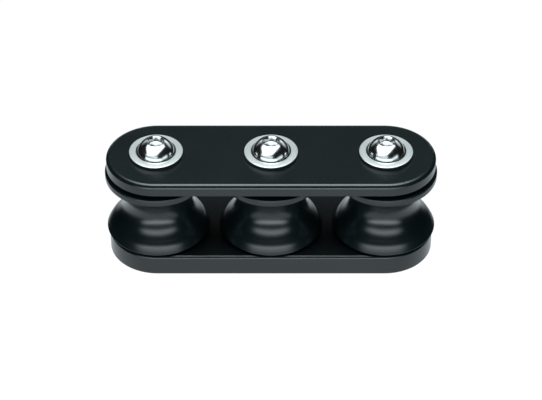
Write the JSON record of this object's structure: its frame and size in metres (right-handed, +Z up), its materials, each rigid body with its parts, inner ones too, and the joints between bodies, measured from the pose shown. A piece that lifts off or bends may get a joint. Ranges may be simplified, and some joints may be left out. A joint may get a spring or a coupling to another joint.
{
  "type": "rope deck organizer",
  "caption": "Row of hourglass sheaves between two round-ended black plates, bolted down through a deck to lead ropes side by side.",
  "frame": {"origin": "on the deck plane, in the middle of the base plate's underside, on the axis of the centre screw", "axes": "+X along the row of sheaves, +Z up from the deck, -Y the side that the picture shows in front"},
  "size_m": [0.1238, 0.0386, 0.0596],
  "materials": {
    "plate": "black anodised, fine satin",
    "sheave": "black anodised over a fine turned surface",
    "bush": "black acetal",
    "sleeve": "turned stainless steel",
    "washer": "fine turned stainless steel",
    "screw": "polished stainless steel"
  },
  "bodies": {
    "housing": {"base_plate": "plate", "top_plate": "plate", "left_axle_sleeve": "sleeve", "left_washer": "washer", "left_screw": "screw", "centre_axle_sleeve": "sleeve", "centre_washer": "washer", "centre_screw": "screw", "right_axle_sleeve": "sleeve", "right_washer": "washer", "right_screw": "screw"},
    "left_sheave_group": {"left_sheave": "sheave", "left_lower_bush": "bush", "left_upper_bush": "bush"},
    "centre_sheave_group": {"centre_sheave": "sheave", "centre_lower_bush": "bush", "centre_upper_bush": "bush"},
    "right_sheave_group": {"right_sheave": "sheave", "right_lower_bush": "bush", "right_upper_bush": "bush"}
  },
  "joints": [
    {"name": "left_sheave_spin", "type": "hinge", "parent": "housing", "child": "left_sheave_group", "pos_m": [-0.0426, 0, 0.0227], "axis": [0, 0, 1], "continuous": true},
    {"name": "centre_sheave_spin", "type": "hinge", "parent": "housing", "child": "centre_sheave_group", "pos_m": [0, 0, 0.0227], "axis": [0, 0, 1], "continuous": true},
    {"name": "right_sheave_spin", "type": "hinge", "parent": "housing", "child": "right_sheave_group", "pos_m": [0.0426, 0, 0.0227], "axis": [0, 0, 1], "continuous": true}
  ]
}
